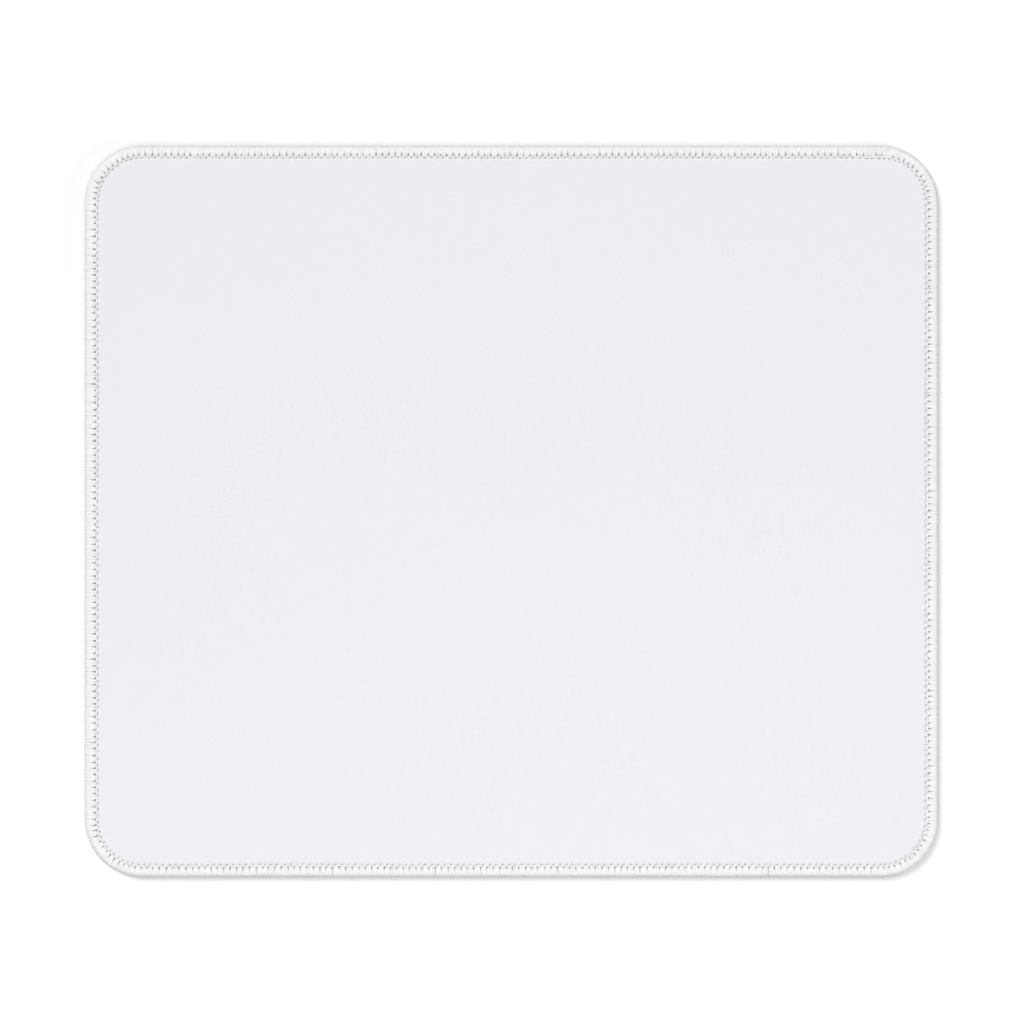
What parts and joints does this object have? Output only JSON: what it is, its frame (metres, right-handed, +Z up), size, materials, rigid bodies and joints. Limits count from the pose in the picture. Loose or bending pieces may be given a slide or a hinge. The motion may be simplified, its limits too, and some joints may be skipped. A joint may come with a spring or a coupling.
{
  "type": "mouse pad",
  "caption": "Flat rounded rectangular cloth mouse pad on a rubber foam base, with an overlocked thread edge all round.",
  "frame": {"origin": "middle of the underside, on the desk", "axes": "+X along the long side, +Y along the short side towards the back of the desk, +Z up through the cloth"},
  "size_m": [0.28, 0.24, 0.0032],
  "materials": {
    "cloth": "fine matt weave",
    "film": "milky adhesive film",
    "foam_rubber": "matt, finely embossed",
    "thread": "soft sheen"
  },
  "bodies": {
    "root": {"cloth_top": "cloth", "bonding_film": "film", "rubber_base": "foam_rubber", "needle_thread": "thread", "upper_looper_thread": "thread", "lower_looper_thread": "thread"}
  },
  "joints": []
}
